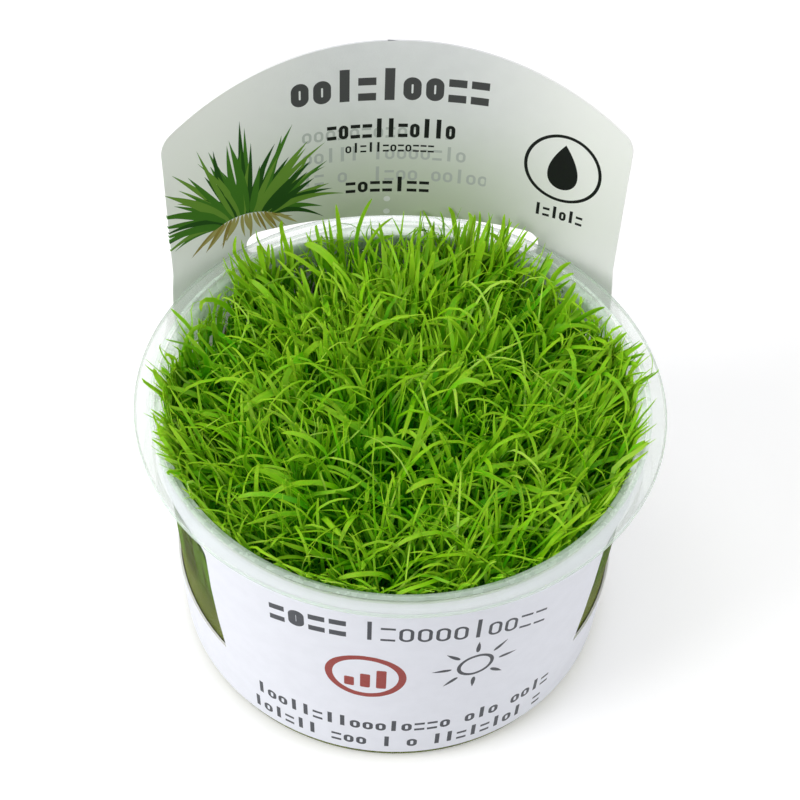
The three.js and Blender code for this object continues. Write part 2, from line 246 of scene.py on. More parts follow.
clear_plastic, tree, shader = new_material("clear_plastic")
shader.inputs["Base Color"].default_value = (*CLEAR_TINT, 1)
shader.inputs["Transmission Weight"].default_value = 0.68
shader.inputs["IOR"].default_value = PLASTIC_IOR
place = object_place(tree)
x, y, z = axes_of(tree, place)
outer_radius = calc(tree, "MULTIPLY_ADD", z, WALL_SLOPE, OUTER_FACE_AT_FOOT * MM)
depth_in_wall = calc(tree, "SUBTRACT", outer_radius, hypotenuse(tree, x, y))
inner_face = stepped(tree, depth_in_wall, 0.05 * MM, 0.1 * MM)
above_plants = stepped(tree, z, HAZE_BOTTOM * MM, (HAZE_BOTTOM + 1) * MM)
below_lip = stepped(tree, z, 45.8 * MM, LIP_START * MM, 1, 0)
patches = stepped(tree, noise(tree, place, 260, 4), 0.35, 0.7, 0.3, 1)
hazy = calc(tree, "MULTIPLY", inner_face, above_plants)
haze = calc(tree, "MULTIPLY", calc(tree, "MULTIPLY", hazy, below_lip), patches)
roughness = calc(tree, "MULTIPLY_ADD", haze, HAZE_ROUGHNESS, CLEAR_ROUGHNESS)
tree.links.new(roughness, shader.inputs["Roughness"])
rim_share = stepped(tree, z, 45.6 * MM, LIP_START * MM, CLEAR_ALPHA, RIM_ALPHA)
alpha = calc(tree, "MAXIMUM", rim_share, calc(tree, "MULTIPLY", hazy, HAZE_ALPHA))
tree.links.new(alpha, shader.inputs["Alpha"])
bumped(tree, shader, noise(tree, place, 120, 1), 0.00003)

frosted_plastic_painted_light, tree, shader = new_material("frosted_plastic_painted_light")
shader.inputs["Transmission Weight"].default_value = 0.25
shader.inputs["IOR"].default_value = PLASTIC_IOR
place = object_place(tree)
x, y, z = axes_of(tree, place)
run_down = scaled(tree, place, (1, 1, 0.2))
in_lip = stepped(tree, z, LIP_START * MM, 48 * MM)
# Painted light: leaf green in the mouth, paling upwards into a painted highlight on the lip.
tree.links.new(mixed(tree, in_lip, MOUTH_PAINTED_LEAF_GREEN, LIP_PAINTED_HIGHLIGHT), shader.inputs["Base Color"])
inside_edge = stepped(tree, hypotenuse(tree, x, y), 38 * MM, 39 * MM, 1, 0)
wet = calc(tree, "MULTIPLY", noise(tree, run_down, 600, 3), inside_edge)
tree.links.new(stepped(tree, wet, 0.3, 0.7, 0.12, 0.4), shader.inputs["Roughness"])
tree.links.new(stepped(tree, wet, 0.3, 0.7, 0.58, 0.7), shader.inputs["Alpha"])
bumped(tree, shader, noise(tree, run_down, 500, 2), 0.0001)

cup = turned_piece("clear_cup", CUP_OUTLINE, CUP_SIDES)
cup.data.materials.append(clear_plastic)
cup.data.materials.append(frosted_plastic_painted_light)
for polygon in cup.data.polygons:
    outward = polygon.center * Vector((1, 1, 0))
    faces_out = polygon.normal.dot(outward.normalized()) > 0.5
    height = polygon.center.z / MM
    radius = outward.length / MM
    is_lip = height > RIM_HEIGHT and radius < LIP_RADIUS
    in_mouth = height > MOUTH_BOTTOM and radius < MOUTH_RADIUS and not faces_out
    is_frosted = is_lip or in_mouth or radius > EDGE_RADIUS
    polygon.material_index = 1 if is_frosted else 0
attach(cup, "root")
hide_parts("cup")


# Gel: the disc of set nutrient jelly that was poured into the foot of the cup and sticks to it. A thin
# wet skin of jelly and old leaf bases creeps up the wall, and colours what is seen through it. Its dark
# streaked colour is partly painted shade, standing in for the dim turf behind the wall.
SKIN_TOP = 40
INNER_FOOT_RADIUS = 35.06
JELLY_DARK = (0.085, 0.105, 0.018)
JELLY_LIGHT = (0.13, 0.155, 0.032)
SKIN_SHADE_DARK = (0.045, 0.056, 0.008)
SKIN_SHADE_LIGHT = (0.085, 0.165, 0.014)


def inner_radius_at(height):
    return INNER_FOOT_RADIUS + WALL_SLOPE * height


GEL_OUTLINE = [
    (34, 0.22), (34.68, 0.24), (34.92, 0.37), (35.05, 0.61), (35.1, 1.2), (inner_radius_at(4), 4),
    (inner_radius_at(12), 12), (inner_radius_at(23), 23), (inner_radius_at(SKIN_TOP), SKIN_TOP),
    (inner_radius_at(SKIN_TOP) - 0.1, SKIN_TOP + 0.1), (inner_radius_at(23) - 0.3, 23),
    (35.1, 19.7), (34.8, 19.35), (34.2, 19.1), (33, 19.02), (30, 19),
]

gel_jelly, tree, shader = new_material("gel_jelly")
place = object_place(tree)
height = axes_of(tree, place)[2]
drawn_out = scaled(tree, place, (1, 1, 0.12))
clouds = stepped(tree, noise(tree, place, 90, 3), 0.3, 0.7)
streaks = stepped(tree, noise(tree, drawn_out, 420, 2), 0.35, 0.65)
jelly = mixed(tree, clouds, JELLY_DARK, JELLY_LIGHT)
# Painted shade: the dark streaks of the skin stand in for the dim turf behind the wall.
skin_and_shade = mixed(tree, streaks, SKIN_SHADE_DARK, SKIN_SHADE_LIGHT)
on_wall = stepped(tree, height, 20 * MM, 27 * MM)
tree.links.new(mixed(tree, on_wall, jelly, skin_and_shade), shader.inputs["Base Color"])
shader.inputs["Roughness"].default_value = 0.5
shader.inputs["Specular IOR Level"].default_value = 0
shader.inputs["Subsurface Weight"].default_value = 0.4
shader.inputs["Subsurface Radius"].default_value = (1, 1, 0.4)
shader.inputs["Subsurface Scale"].default_value = 0.0015
ragged_height = calc(tree, "MULTIPLY_ADD", noise(tree, drawn_out, 500, 3), 14 * MM, height)
tree.links.new(stepped(tree, ragged_height, 42 * MM, 45 * MM, 1, 0), shader.inputs["Alpha"])
bumped(tree, shader, noise(tree, place, 300, 3), 0.0001)

gel = turned_piece("set_gel", GEL_OUTLINE, CUP_SIDES)
gel.data.materials.append(gel_jelly)
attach(gel, "root")
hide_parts("nutrient_gel")


# Plantlets: seven clumps of a small bog plant, one in the middle and six round it, grown together into
# one turf. From a mat of creeping stolons each sends up hundreds of fine strap leaves, which bend and
# curl near their tips, lean out over the lip at the rim and stand tallest at the back.
MAT_HEIGHT = 19.2
TURF_RADIUS = 33.6
HEART_RADIUS = 12.4
OUTER_CLUMPS = 6
LEAF_COUNT = 6300
RIM_ZONE_START = 18
RIM_ZONE_WIDTH = 11
BACK_ZONE_START = 4
BACK_ZONE_WIDTH = 28
CANOPY_HEIGHT = 47.4
BACK_RISE = 5.6
RIM_RISE = 1.5
TUFT_RISE = 1.6
FINE_TUFT_RISE = 1.2
TIPS_ABOVE = 1.8
MEAN_DEPTH = 6
TOP_LAYER = 1.5
BACK_CLEARANCE = 4.4
LONGEST_LEAF = 40
DEEPEST_TIP = 17
THREADS_FROM = 0.7
CURLED_FROM = 0.55
PALE_FROM = 0.94
PALE_THREADS = 0.26
PALE_BLADES = 0.05
BLADE_WIDTHS = (0.4, 0.96)
THREAD_WIDTHS = (0.26, 0.44)
BROAD_CHANCE = 0.08
BROAD_FACTOR = 1.3
THICKNESS_SHARE = 0.2
THICKNESSES = (0.06, 0.09)
FOLD_SHARE = 0.2
LEAN_HEIGHT = 24
DRIFT_LEAN = 0.13
STRAY_LEAN = 0.07
STRAY_CHANCE = 0.1
SCATTER = 0.42
WANDER = math.radians(25)
WAVE = math.radians(25)
THREAD_WANDER = 4
THREAD_WAVE = 1.9
PLAIN_BENDS = (0, 45)
CURLED_BENDS = (70, 190)
THREAD_BENDS = (50, 220)
RIPPLES = 1.3
FINE_RIPPLES = 2.3
WALK_STEPS = 40
RING_SHARES = np.array([0, 0.22, 0.42, 0.55, 0.65, 0.73, 0.8, 0.86, 0.91, 0.95, 0.98, 1])
POINTED_WIDTHS = np.array([0.75, 0.9, 0.98, 1, 1, 0.97, 0.91, 0.81, 0.67, 0.47, 0.25, 0.05])
BLUNT_WIDTHS = np.array([0.78, 0.93, 1, 1, 1, 1, 1, 0.99, 0.96, 0.86, 0.64, 0.2])
BLADE_SIDES = 4
ROOM_HEIGHTS = [2.5, 41, 46.8, 48, 49.2, 51.5]
ROOM_RADII = [34.7, 35.6, 35.5, 35.6, 36.6, 38.6]
ROOM_LOST_BEHIND = 1.2
SOFT_EDGE = 1.6
LEAF_DARK = (0.09, 0.47, 0.0005)
LEAF_LIGHT = (0.235, 0.56, 0.001)
LEAF_PALE_HIGHLIGHT = (0.44, 0.76, 0.10)
LEAF_SHADED = (0.06, 0.44, 0.004)
LEAF_FOOT_PAINTED_SHADE = (0.03, 0.24, 0.004)
LEAF_TIP_PAINTED_LIGHT = (0.36, 0.58, 0.025)
LEAF_DEEP_PAINTED_SHADE = (0.07, 0.52, 0.004)
LEAF_FIBRE = (0.08, 0.37, 0.003)

leaf_green, tree, shader = new_material("leaf_green")
leaf_map = tree.nodes.new("ShaderNodeUVMap")
leaf_map.uv_map = "leaf"
along = axes_of(tree, leaf_map.outputs[0])[1]
height = axes_of(tree, object_place(tree))[2]
tone_node = tree.nodes.new("ShaderNodeAttribute")
tone_node.attribute_name = "tone"
tone = tone_node.outputs["Fac"]
fibres = noise(tree, scaled(tree, leaf_map.outputs[0], (9, 0.8, 1)), 2.2, 2)
green = mixed(tree, stepped(tree, tone, 0, 0.9), LEAF_DARK, LEAF_LIGHT)
# Pale leaves: a real pale tone that is also a painted highlight, since only the topmost leaves get it.
green = mixed(tree, stepped(tree, tone, 0.93, 0.97), green, LEAF_PALE_HIGHLIGHT)
# Painted shade: each leaf darkens and turns greener towards its foot.
green = mixed(tree, stepped(tree, along, 0.05, 0.8, 0.8, 0), green, LEAF_SHADED)
green = mixed(tree, stepped(tree, along, 0, 0.2, 0.5, 0), green, LEAF_FOOT_PAINTED_SHADE)
# Painted light: the tips, which stand in the light at the top of the turf, are lighter and yellower.
green = mixed(tree, stepped(tree, along, 0.68, 0.98, 0, 0.65), green, LEAF_TIP_PAINTED_LIGHT)
# Painted shade: leaves lower down in the turf are a darker, greener colour.
green = mixed(tree, stepped(tree, height, 36 * MM, 47 * MM, 0.8, 0), green, LEAF_DEEP_PAINTED_SHADE)
green = mixed(tree, stepped(tree, fibres, 0.35, 0.7, 0, 0.22), green, LEAF_FIBRE)
tree.links.new(green, shader.inputs["Base Color"])
tree.links.new(stepped(tree, fibres, 0.2, 0.8, 0.4, 0.55), shader.inputs["Roughness"])
shader.inputs["Specular IOR Level"].default_value = 0.13
shader.inputs["Subsurface Weight"].default_value = 0.5
shader.inputs["Subsurface Radius"].default_value = (0.6, 1, 0.25)
shader.inputs["Subsurface Scale"].default_value = 0.00035

# Roots stand all over the mat, but further in at the back, so that the leaves clear the header.
rng = np.random.default_rng(20)
root_angle = rng.random(LEAF_COUNT) * 2 * np.pi
behind = np.clip(1.5 * np.sin(root_angle), 0, 1)
in_front = np.clip(-1.4 * np.sin(root_angle), 0, 1)
root_radius = (TURF_RADIUS - BACK_CLEARANCE * behind) * np.sqrt(rng.random(LEAF_COUNT))
root_x = root_radius * np.cos(root_angle)
root_y = root_radius * np.sin(root_angle)
near_rim = np.clip((root_radius - RIM_ZONE_START) / RIM_ZONE_WIDTH, 0, 1)

# Plain blades, blades with curled tips and thin wavy threads grow mixed together.
kind = rng.random(LEAF_COUNT)
is_thread = kind > THREADS_FROM
is_curled = (kind > CURLED_FROM) & ~is_thread
is_limp = is_curled | is_thread
tone = np.where(is_thread, rng.uniform(0.5, 0.9, LEAF_COUNT), 0.9 * rng.random(LEAF_COUNT))
half_width = 0.5 * rng.uniform(*BLADE_WIDTHS, LEAF_COUNT)
half_width *= 1 - 0.22 * near_rim * in_front
half_width *= 1 + 0.12 * behind
half_width = np.where(is_thread, 0.5 * rng.uniform(*THREAD_WIDTHS, LEAF_COUNT), half_width)
half_width *= np.where(rng.random(LEAF_COUNT) < BROAD_CHANCE, BROAD_FACTOR, 1)
half_thickness = np.clip(half_width * THICKNESS_SHARE, *THICKNESSES)

# Stems lean outward, and neighbours lean alike. Most leaves then bend over the way that they lean.
drift_x = np.sin(root_x / 2.1 + 1.3) * np.cos(root_y / 2.4) + np.sin(root_x / 5.9 + root_y / 4.7 + 2)
drift_y = np.sin(root_x / 2.6 - root_y / 1.9) + np.cos(root_x / 6.1 - root_y / 7.3 + 1)
drift_x += 0.6 * np.sin(root_x / 0.8 + 2) * np.cos(root_y / 0.9)
drift_y += 0.6 * np.sin(root_y / 0.8 + root_x / 1.1)
lean_x = (0.5 - 0.12 * behind) * root_x / TURF_RADIUS + DRIFT_LEAN * drift_x
lean_x += rng.normal(0, STRAY_LEAN, LEAF_COUNT)
outward_y = (0.27 - 0.08 * behind - 0.12 * in_front) * (root_y + 12) / TURF_RADIUS
lean_y = outward_y + DRIFT_LEAN * drift_y + rng.normal(0, STRAY_LEAN, LEAF_COUNT)
stem = np.stack([lean_x, lean_y, np.ones(LEAF_COUNT)], axis=-1)
stem /= np.linalg.norm(stem, axis=-1, keepdims=True)
bend = np.radians(rng.uniform(*PLAIN_BENDS, LEAF_COUNT))
bend = np.where(is_curled, np.radians(rng.uniform(*CURLED_BENDS, LEAF_COUNT)), bend)
bend = np.where(is_thread, np.radians(rng.uniform(*THREAD_BENDS, LEAF_COUNT)), bend)
bend_late = rng.uniform(1.5, 3.5, LEAF_COUNT) + is_limp * rng.uniform(0.8, 3, LEAF_COUNT)
strays = (rng.random(LEAF_COUNT) < STRAY_CHANCE) | is_thread
swing = rng.uniform(-np.pi, np.pi, LEAF_COUNT)
scatter = rng.normal(0, SCATTER, LEAF_COUNT) * (1 + 1.6 * in_front)
heading = np.where(strays, swing, np.arctan2(lean_y, lean_x) + scatter)
wander = rng.normal(0, WANDER, LEAF_COUNT) * np.where(is_thread, THREAD_WANDER, 1)
wave = rng.normal(0, WAVE, LEAF_COUNT) * np.where(is_thread, THREAD_WAVE, 1)
wave_phase = rng.uniform(0, 2 * np.pi, LEAF_COUNT)
twist_start = rng.normal(0, 0.5, LEAF_COUNT)
twist = rng.normal(0, 0.8, LEAF_COUNT)


def bend_sides(shares):
    # The direction in which each leaf bends over at each share of its length, square to its stem.
    turned = heading[:, None] + wander[:, None] * shares
    aside = np.stack([np.cos(turned), np.sin(turned), np.zeros_like(turned)], axis=-1)
    aside -= stem[:, None] * np.sum(aside * stem[:, None], axis=-1, keepdims=True)
    return aside / np.linalg.norm(aside, axis=-1, keepdims=True)


steps = (np.arange(WALK_STEPS) + 0.5) / WALK_STEPS
ripple = wave[:, None] * np.sin(wave_phase[:, None] + 2 * np.pi * RIPPLES * steps)
ripple += 0.45 * wave[:, None] * np.sin(1.7 * wave_phase[:, None] + 2 * np.pi * FINE_RIPPLES * steps)
bent = (bend[:, None] * steps ** bend_late[:, None] + ripple)[:, :, None]
direction = stem[:, None] * np.cos(bent) + bend_sides(steps) * np.sin(bent)
walk = np.concatenate([
    np.zeros((LEAF_COUNT, 1, 3)), np.cumsum(direction, axis=1) / WALK_STEPS
], axis=1)

crown_x = root_x + LEAN_HEIGHT * lean_x
crown_y = root_y + LEAN_HEIGHT * lean_y
back_share = np.clip((crown_y - BACK_ZONE_START) / BACK_ZONE_WIDTH, 0, 1)
tufts = TUFT_RISE * np.sin(crown_x / 3.3 + 1) * np.cos(crown_y / 3)
tufts += FINE_TUFT_RISE * np.sin(crown_x / 1.5 - crown_y / 1.8)
canopy = CANOPY_HEIGHT + BACK_RISE * back_share ** 1.5 + RIM_RISE * near_rim * (1 - behind) + tufts
mean_depth = MEAN_DEPTH + MEAN_DEPTH * behind * near_rim
depth = np.minimum(rng.exponential(1, LEAF_COUNT) * mean_depth - TIPS_ABOVE, DEEPEST_TIP)
# Pale tone only on leaves whose tips reach the top layer, so it is also a painted highlight.
pale_chance = np.where(is_thread, PALE_THREADS, PALE_BLADES)
is_pale_highlit = (rng.random(LEAF_COUNT) < pale_chance) & (depth < TOP_LAYER)
tone = np.where(is_pale_highlit, rng.uniform(PALE_FROM, 1, LEAF_COUNT), tone)
length = (canopy - depth - MAT_HEIGHT) / walk[:, :, 2].max(axis=1)
length = np.minimum(length, LONGEST_LEAF)
spine = walk * length[:, None, None]
spine += np.stack([root_x, root_y, np.full(LEAF_COUNT, MAT_HEIGHT)], axis=-1)[:, None, :]

# Leaves that reach the wall slide up along it, and spread again above the lip.
room = np.interp(spine[:, :, 2], ROOM_HEIGHTS, ROOM_RADII) - ROOM_LOST_BEHIND * behind[:, None]
reach = np.hypot(spine[:, :, 0], spine[:, :, 1])
excess = np.maximum(reach - (room - SOFT_EDGE), 0)
held = np.where(excess > 0, room - SOFT_EDGE * np.exp(-excess / SOFT_EDGE), reach)
spine[:, :, :2] *= (held / np.maximum(reach, 1e-6))[:, :, None]

# Each blade is a flat four-sided strap along its spine, turned a little and folded along its middle.
at = RING_SHARES * WALK_STEPS
whole = np.minimum(at.astype(int), WALK_STEPS - 1)
part = (at - whole)[None, :, None]
rings = spine[:, whole] * (1 - part) + spine[:, whole + 1] * part
tangent = np.gradient(rings, axis=1)
tangent /= np.linalg.norm(tangent, axis=-1, keepdims=True)
side = np.cross(stem[:, None], bend_sides(RING_SHARES))
side -= tangent * np.sum(side * tangent, axis=-1, keepdims=True)
side /= np.linalg.norm(side, axis=-1, keepdims=True)
face = np.cross(tangent, side)
roll = (twist_start[:, None] + twist[:, None] * RING_SHARES)[:, :, None]
blade_side = side * np.cos(roll) + face * np.sin(roll)
blade_face = face * np.cos(roll) - side * np.sin(roll)
blunt = rng.uniform(-0.1, 1.1, LEAF_COUNT) + 0.4 * is_limp + 0.2 * behind
blunt = np.clip(blunt, 0, 1)[:, None]
taper = POINTED_WIDTHS * (1 - blunt) + BLUNT_WIDTHS * blunt
width = (half_width[:, None] * taper)[:, :, None]
thick = (half_thickness[:, None] * (0.35 + 0.65 * taper))[:, :, None]
fold = FOLD_SHARE * width * blade_face
section = np.stack([
    rings + blade_side * width + fold,
    rings + blade_face * thick,
    rings - blade_side * width + fold,
    rings - blade_face * thick,
], axis=2)

ring_count = len(RING_SHARES)
leaf_points = BLADE_SIDES * ring_count
quads = []
for ring in range(ring_count - 1):
    for corner in range(BLADE_SIDES):
        here = BLADE_SIDES * ring + corner
        after = BLADE_SIDES * ring + (corner + 1) % BLADE_SIDES
        quads.append([here, after, after + BLADE_SIDES, here + BLADE_SIDES])
quads.append([3, 2, 1, 0])
quads.append([leaf_points - BLADE_SIDES + corner for corner in range(BLADE_SIDES)])
quads = np.array(quads)
corner_across = np.tile([1, 0.5, 0, 0.5], ring_count)
corner_along = np.repeat(RING_SHARES, BLADE_SIDES)

clump_of = np.where(
    root_radius < HEART_RADIUS, 0,
    1 + (np.mod(root_angle, 2 * np.pi) // (2 * np.pi / OUTER_CLUMPS)).astype(int),
)
for clump in range(OUTER_CLUMPS + 1):
    members = np.flatnonzero(clump_of == clump)
    points = section[members].reshape(-1, 3) * MM
    first_points = np.arange(len(members)) * leaf_points
    faces = (quads[None] + first_points[:, None, None]).reshape(-1, 4)
    mesh = bpy.data.meshes.new(f"clump_{clump + 1}_leaves")
    mesh.from_pydata(points.tolist(), [], faces.tolist())
    mesh.polygons.foreach_set("use_smooth", np.ones(len(faces), bool))
    edge_ends = np.empty(2 * len(mesh.edges), int)
    mesh.edges.foreach_get("vertices", edge_ends)
    edge_corners = edge_ends.reshape(-1, 2) % BLADE_SIDES
    is_blade_edge = (edge_corners[:, 0] == edge_corners[:, 1]) & (edge_corners[:, 0] % 2 == 0)
    mesh.attributes.new("sharp_edge", "BOOLEAN", "EDGE").data.foreach_set("value", is_blade_edge)
    loop_points = faces.ravel() % leaf_points
    leaf_uv = mesh.uv_layers.new(name="leaf")
    leaf_uv.data.foreach_set("uv", np.stack(
        [corner_across[loop_points], corner_along[loop_points]], axis=-1
    ).ravel())
    tone_data = mesh.attributes.new("tone", "FLOAT", "POINT")
    tone_data.data.foreach_set("value", np.repeat(tone[members], leaf_points))
    mesh.materials.append(leaf_green)
    leaves = bpy.data.objects.new(f"clump_{clump + 1}_leaves", mesh)
    bpy.context.scene.collection.objects.link(leaves)
    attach(leaves, "root")
    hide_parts(f"plantlet_clump_{clump + 1}")


# Dew: drops of water from the moist air in the cup. They have condensed on the inside of the wall above
# the leaves and cling there, mostly at the back.
DEW_COUNT = 420
DEW_ANGLE = math.pi / 2
DEW_SPREAD = 0.75
DEW_HEIGHTS = (38.5, 46)
DROP_SIDES = 8
DROP_RINGS = [(1, 0), (0.9, 0.3), (0.6, 0.52), (0.2, 0.6)]
WATER_TINT = (0.96, 0.98, 0.96)
WATER_IOR = 1.33
SUNK_IN = 0.01
WALL_HEIGHTS = [4, 23, 41, 44, 46.4]
WALL_RADII = [35.19, 35.75, 36.25, 35.95, 35.82]


def drops_on_wall(name, angles, heights, radii, bulge):
    # Low domes that stand on the inner face of the wall, each a few rings of points and a cap.
    unit = []
    for share, rise in DROP_RINGS:
        for side in range(DROP_SIDES):
            turned = 2 * math.pi * side / DROP_SIDES
            unit.append((share * math.cos(turned), share * math.sin(turned), rise))
    unit = np.array(unit)
    faces = [list(range(DROP_SIDES))]
    for ring in range(len(DROP_RINGS) - 1):
        for side in range(DROP_SIDES):
            after = (side + 1) % DROP_SIDES
            low, high = ring * DROP_SIDES, (ring + 1) * DROP_SIDES
            faces.append([low + after, low + side, high + side, high + after])
    faces.append([len(unit) - 1 - side for side in range(DROP_SIDES)])
    around = np.stack([-np.sin(angles), np.cos(angles), np.zeros_like(angles)], axis=-1)
    inward = np.stack([-np.cos(angles), -np.sin(angles), np.zeros_like(angles)], axis=-1)
    upward = np.array([0, 0, 1])
    stand = np.interp(heights, WALL_HEIGHTS, WALL_RADII) - SUNK_IN
    centres = -inward * stand[:, None] + upward * heights[:, None]
    points = centres[:, None] + radii[:, None, None] * (
        around[:, None] * unit[None, :, :1] + upward * unit[None, :, 1:2]
        + inward[:, None] * unit[None, :, 2:] * bulge
    )
    every = [[corner + len(unit) * drop for corner in face] for drop in range(len(angles)) for face in faces]
    mesh = bpy.data.meshes.new(name)
    mesh.from_pydata((points.reshape(-1, 3) * MM).tolist(), [], every)
    mesh.polygons.foreach_set("use_smooth", np.ones(len(mesh.polygons), bool))
    drops = bpy.data.objects.new(name, mesh)
    bpy.context.scene.collection.objects.link(drops)
    pick(drops)
    turn_faces_outward()
    return drops


water, tree, shader = new_material("water")
ripples = stepped(tree, noise(tree, object_place(tree), 800, 1), 0.3, 0.7, 0.02, 0.08)
tree.links.new(ripples, shader.inputs["Roughness"])
shader.inputs["Base Color"].default_value = (*WATER_TINT, 1)
shader.inputs["Transmission Weight"].default_value = 1
shader.inputs["IOR"].default_value = WATER_IOR

dew = drops_on_wall(
    "wall_dew",
    angles=rng.normal(DEW_ANGLE, DEW_SPREAD, DEW_COUNT),
    heights=rng.uniform(*DEW_HEIGHTS, DEW_COUNT),
    radii=0.1 + 0.3 * rng.random(DEW_COUNT) ** 3,
    bulge=0.8,
)
dew.data.materials.append(water)
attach(dew, "root")


# Specks: a few dark crumbs of old root and stolon that stayed on the wall at the back left when the cup
# was planted. Only the water there holds them.
SPECK_COUNT = 14
SPECK_ANGLE = 2.0
SPECK_SPREAD = 0.14
SPECK_HEIGHTS = (39, 41.5)
SPECK_RADII = (0.12, 0.26)
ROOT_BLACK = (0.012, 0.012, 0.008)
ROOT_BROWN = (0.05, 0.045, 0.02)

old_root, tree, shader = new_material("old_root")
crumbs = noise(tree, object_place(tree), 1500, 2)
tree.links.new(mixed(tree, crumbs, ROOT_BLACK, ROOT_BROWN), shader.inputs["Base Color"])
shader.inputs["Roughness"].default_value = 0.6

specks = drops_on_wall(
    "root_specks",
    angles=rng.normal(SPECK_ANGLE, SPECK_SPREAD, SPECK_COUNT),
    heights=rng.uniform(*SPECK_HEIGHTS, SPECK_COUNT),
    radii=rng.uniform(*SPECK_RADII, SPECK_COUNT),
    bulge=0.6,
)
specks.data.materials.append(old_root)
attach(specks, "root")


# Label sleeve: one die-cut sheet of coated card, printed on both sides, wrapped round the cup. A low
# strap at each side joins the front panel to the back panel, which flares out past the flange through
# a slot and stands up behind the rim as an arched header.
SLEEVE_GAP_LOW = 0.02
SLEEVE_GAP_HIGH = 0.4
CARD_THICKNESS = 0.35
HALF_WAY_ROUND = math.pi * WALL_TOP_RADIUS
SLEEVE_BOTTOM = 2.3
STRAP_TOP = 14.5
FRONT_TOP = 47
WINDOW_TOP = 41
HEADER_CURVE = 63.75
HEADER_LEAN = math.radians(3)
HEADER_HALF = 37.9
HEADER_SHOULDER = 71
HEADER_CORNER = 3.6
HEADER_TOP = 83.6
PAST_END = 125
SLOT_HALF_WIDTH = 22.4
SLOT_HEIGHT = 47.9
SLOT_ROUNDING = 2.3
FLARE_INNER = 44
FLARE_OUTER = 60
FRONT_LAYOUT_DROP = 100
CUTTER_REACH = 5
SHEET_MARGIN = 2
END_WITHIN = 0.01
WELD_WITHIN = 0.005
SHARPEST_BEND = math.radians(40)
CARD_COLUMNS = 116
CARD_ROWS = 42
LOOPS_BELOW = 0.4
BARS_BELOW = 0.62
FULL_LINE = 9
RING_SIGN = (-6.2, -74)
SUN_SIGN = (10.2, -72.6)
DROP_SIGN = (27.2, 64.2)
FAN_FOOT = (-24.5, 54.6)
FAN_STEP = 0.382
ROOT_BLADES = 17
TUFT_BLADES = 68
FRONT_WHITE = (0.74, 0.755, 0.815)
HEADER_WHITE = (0.77, 0.782, 0.80)
SIDE_PAINTED_LIGHT = (0.95, 0.955, 0.94)
DOT_WHITE = (0.86, 0.87, 0.88)
LEAF_GLOW_PAINTED_GREEN = (0.6, 0.655, 0.53)
INK_GREY = (0.07, 0.07, 0.075)
INK_BLACK = (0.012, 0.012, 0.014)
INK_SLATE = (0.04, 0.044, 0.055)
INK_RED = (0.28, 0.024, 0.014)
INK_FAINT = (0.50, 0.53, 0.52)
LEAF_INKS = [(0.02, 0.08, 0.012), (0.06, 0.19, 0.02), (0.15, 0.30, 0.04)]
ROOT_INKS = [(0.32, 0.25, 0.06), (0.42, 0.38, 0.13)]


def print_group(name, inputs):
    # A node group that takes a place on the sheet and gives the ink there.
    group = bpy.data.node_groups.new(name, "ShaderNodeTree")
    group.interface.new_socket("Place", in_out="INPUT", socket_type="NodeSocketVector")
    for socket in inputs:
        group.interface.new_socket(socket, in_out="INPUT", socket_type="NodeSocketFloat")
    group.interface.new_socket("Ink", in_out="OUTPUT", socket_type="NodeSocketFloat")
    given = group.nodes.new("NodeGroupInput").outputs
    x, y, depth = axes_of(group, given["Place"])
    return group, partial(calc, group), given, x, y


def give_ink(group, ink):
    result = group.nodes.new("NodeGroupOutput")
    group.links.new(ink, result.inputs["Ink"])


def between(maths, value, low, high):
    return maths("MULTIPLY", maths("GREATER_THAN", value, low), maths("LESS_THAN", value, high))


# A row of small marks: rounded loops, upright bars and pairs of dashes, with gaps between some of them.
printed_row, maths, given, x, y = print_group(
    "printed_row", ["Start", "Baseline", "Length", "Height", "Pitch", "Stroke", "Seed", "Gaps"]
)
x = maths("SUBTRACT", x, given["Start"])
y = maths("SUBTRACT", y, given["Baseline"])
cell = maths("DIVIDE", x, given["Pitch"])
key = printed_row.nodes.new("ShaderNodeCombineXYZ")
printed_row.links.new(maths("FLOOR", cell), key.inputs["X"])
printed_row.links.new(given["Seed"], key.inputs["Y"])
dice = printed_row.nodes.new("ShaderNodeTexWhiteNoise")
printed_row.links.new(key.outputs[0], dice.inputs["Vector"])
chance = dice.outputs["Value"]
off_middle = maths("ABSOLUTE", maths("SUBTRACT", maths("FRACT", cell), 0.5))
from_middle = maths("MULTIPLY", off_middle, given["Pitch"])
half_mark = maths("MULTIPLY", given["Pitch"], 0.4)
half_low = maths("MULTIPLY", given["Height"], 0.36)
from_waist = maths("ABSOLUTE", maths("SUBTRACT", y, half_low))
past_end = maths("ADD", maths("SUBTRACT", from_waist, half_low), half_mark)
past_corner = hypotenuse(printed_row, from_middle, maths("MAXIMUM", past_end, 0))
loop = between(maths, maths("SUBTRACT", past_corner, half_mark), maths("MULTIPLY", given["Stroke"], -1), 0)
loop = maths("MULTIPLY", loop, maths("LESS_THAN", chance, LOOPS_BELOW))
bar = maths("LESS_THAN", from_middle, maths("MULTIPLY", given["Stroke"], 0.62))
bar = maths("MULTIPLY", bar, between(maths, y, 0, given["Height"]))
bar = maths("MULTIPLY", bar, between(maths, chance, LOOPS_BELOW, BARS_BELOW))
from_end = maths("SUBTRACT", half_low, from_waist)
dashes = maths("LESS_THAN", from_middle, half_mark)
dashes = maths("MULTIPLY", dashes, between(maths, from_end, 0, maths("MULTIPLY", given["Stroke"], 1.1)))
fullest = maths("SUBTRACT", 1, given["Gaps"])
dashes = maths("MULTIPLY", dashes, between(maths, chance, BARS_BELOW, fullest))
ink = maths("MAXIMUM", maths("MAXIMUM", loop, bar), dashes)
give_ink(printed_row, maths("MULTIPLY", ink, between(maths, x, 0, given["Length"])))

